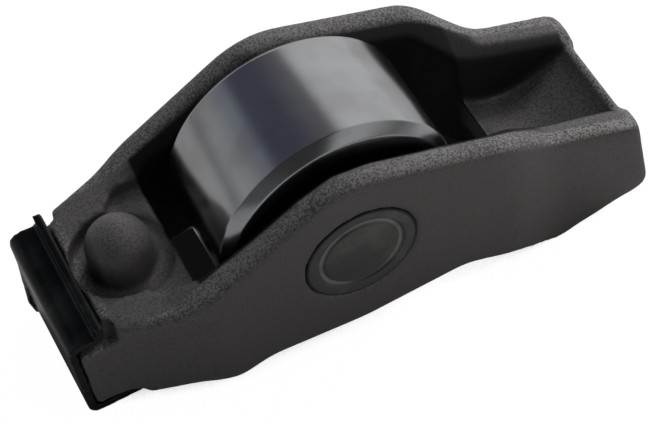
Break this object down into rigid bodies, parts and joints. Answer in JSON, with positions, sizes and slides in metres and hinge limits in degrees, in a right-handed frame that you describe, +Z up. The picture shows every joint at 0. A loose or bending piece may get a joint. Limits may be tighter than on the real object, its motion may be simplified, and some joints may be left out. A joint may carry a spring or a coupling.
{
  "type": "roller finger follower rocker arm",
  "caption": "Cast valve train rocker arm with a needle-bearing cam roller, a ball socket end with a folded spring clip, and a crowned pad that presses the valve.",
  "frame": {"origin": "on the surface that the follower lies on, under the middle of its bounding box", "axes": "+X from the pivot end towards the valve end, +Y along the roller pin, +Z up from the surface"},
  "size_m": [0.0442, 0.0154, 0.019],
  "materials": {
    "cast_body": "fine blasted casting, dark phosphated",
    "spring_clip": "black oxide spring steel, smooth",
    "pin_steel": "dark phosphated with the body, staked ends",
    "ground_steel": "ground and polished",
    "needle_steel": "ground bearing steel"
  },
  "bodies": {
    "arm": {"arm_body": "cast_body", "adjuster_clip": "spring_clip", "roller_pin": "pin_steel"},
    "roller": {"cam_roller": "ground_steel"},
    "needle_set": {"needle_01": "needle_steel", "needle_02": "needle_steel", "needle_03": "needle_steel", "needle_04": "needle_steel", "needle_05": "needle_steel", "needle_06": "needle_steel", "needle_07": "needle_steel", "needle_08": "needle_steel", "needle_09": "needle_steel", "needle_10": "needle_steel", "needle_11": "needle_steel", "needle_12": "needle_steel", "needle_13": "needle_steel", "needle_14": "needle_steel", "needle_15": "needle_steel", "needle_16": "needle_steel", "needle_17": "needle_steel", "needle_18": "needle_steel", "needle_19": "needle_steel", "needle_20": "needle_steel"}
  },
  "joints": [
    {"name": "roller_spin", "type": "hinge", "parent": "arm", "child": "roller", "pos_m": [-0.00181, 0, 0.01019], "axis": [0, 1, 0], "continuous": true},
    {"name": "needle_orbit", "type": "hinge", "parent": "arm", "child": "needle_set", "pos_m": [-0.00181, 0, 0.01019], "axis": [0, 1, 0], "continuous": true}
  ],
  "couplings": [
    {"joint": "needle_orbit", "follows": "roller_spin", "ratio": 0.57905}
  ]
}
